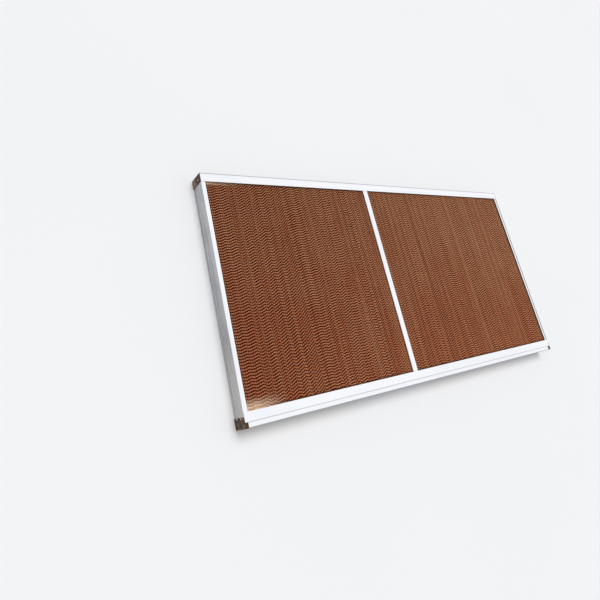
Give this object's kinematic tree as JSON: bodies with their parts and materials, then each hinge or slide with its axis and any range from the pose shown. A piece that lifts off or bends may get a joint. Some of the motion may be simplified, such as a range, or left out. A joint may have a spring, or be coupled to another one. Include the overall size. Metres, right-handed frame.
{
  "type": "evaporative cooling pad",
  "caption": "Framed evaporative cooling pad: fluted brown cellulose blocks in an aluminium frame with a water hood, a gutter, side rails and a centre bar.",
  "frame": {"origin": "middle of the panel's footprint, on the floor it lies on", "axes": "+X along the rails from the left end to the right end, +Y from the gutter to the water hood, +Z out of the air inlet face"},
  "size_m": [3.013, 1.501, 0.12],
  "materials": {
    "aluminium": "bright mill-finish extrusion with a satin sheen",
    "cap_plastic": "matt dark moulded plastic",
    "pad_paper": "resin-soaked brown kraft paper, matt"
  },
  "bodies": {
    "root": {"water_hood": "aluminium", "gutter": "aluminium", "side_rail_left": "aluminium", "side_rail_right": "aluminium", "centre_bar_front": "aluminium", "centre_bar_back": "aluminium", "hood_cap_left": "cap_plastic", "hood_cap_right": "cap_plastic", "gutter_cap_left": "cap_plastic", "gutter_cap_right": "cap_plastic", "pad_1": "pad_paper", "pad_2": "pad_paper", "pad_3": "pad_paper", "pad_4": "pad_paper", "pad_5": "pad_paper"}
  },
  "joints": []
}
